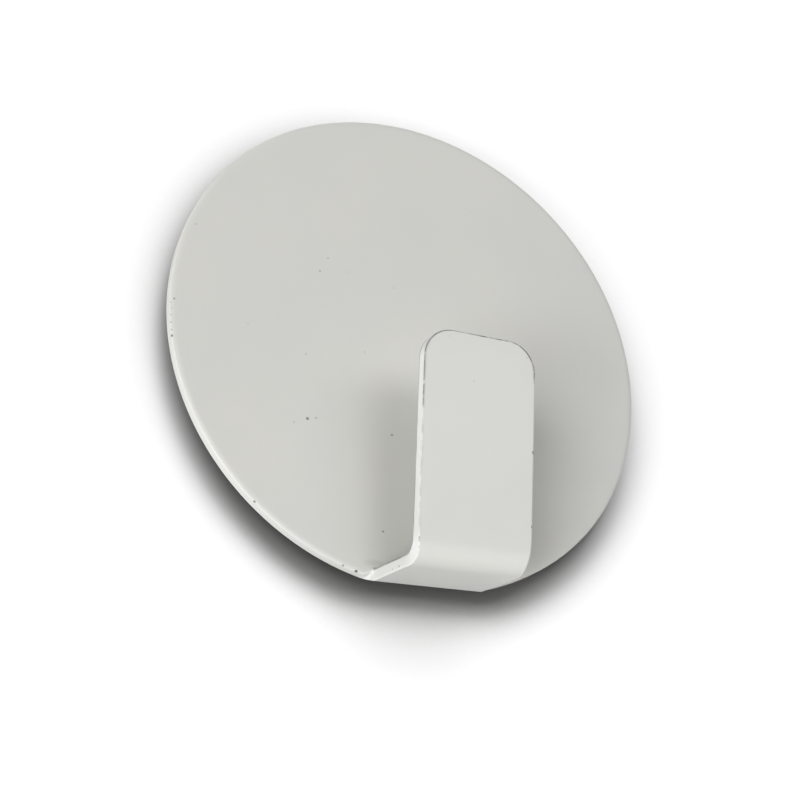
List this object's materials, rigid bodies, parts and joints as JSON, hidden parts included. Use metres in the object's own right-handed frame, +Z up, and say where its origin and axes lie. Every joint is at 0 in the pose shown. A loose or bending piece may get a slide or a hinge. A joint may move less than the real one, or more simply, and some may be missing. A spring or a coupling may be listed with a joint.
{
  "type": "magnetic hook",
  "caption": "Round coated sheet-steel hook with a ledge and upright tongue folded from the same sheet, and a flat magnet disc bonded to its back, for hanging light things on steel surfaces.",
  "frame": {"origin": "centre of the magnet's contact face, where the hook sits on a steel surface", "axes": "+Y points out of the contact face into the steel surface, +Z up along the plate the way the tongue points, +X to the right seen from the front"},
  "size_m": [0.06, 0.0179, 0.0603],
  "materials": {
    "coat": "satin off-white powder coat on steel",
    "film": "milky double-sided adhesive film",
    "magnet": "matte flexible rubber-bonded ferrite sheet"
  },
  "bodies": {
    "root": {"hook_plate": "coat", "bond_film": "film", "magnet_disc": "magnet"}
  },
  "joints": []
}
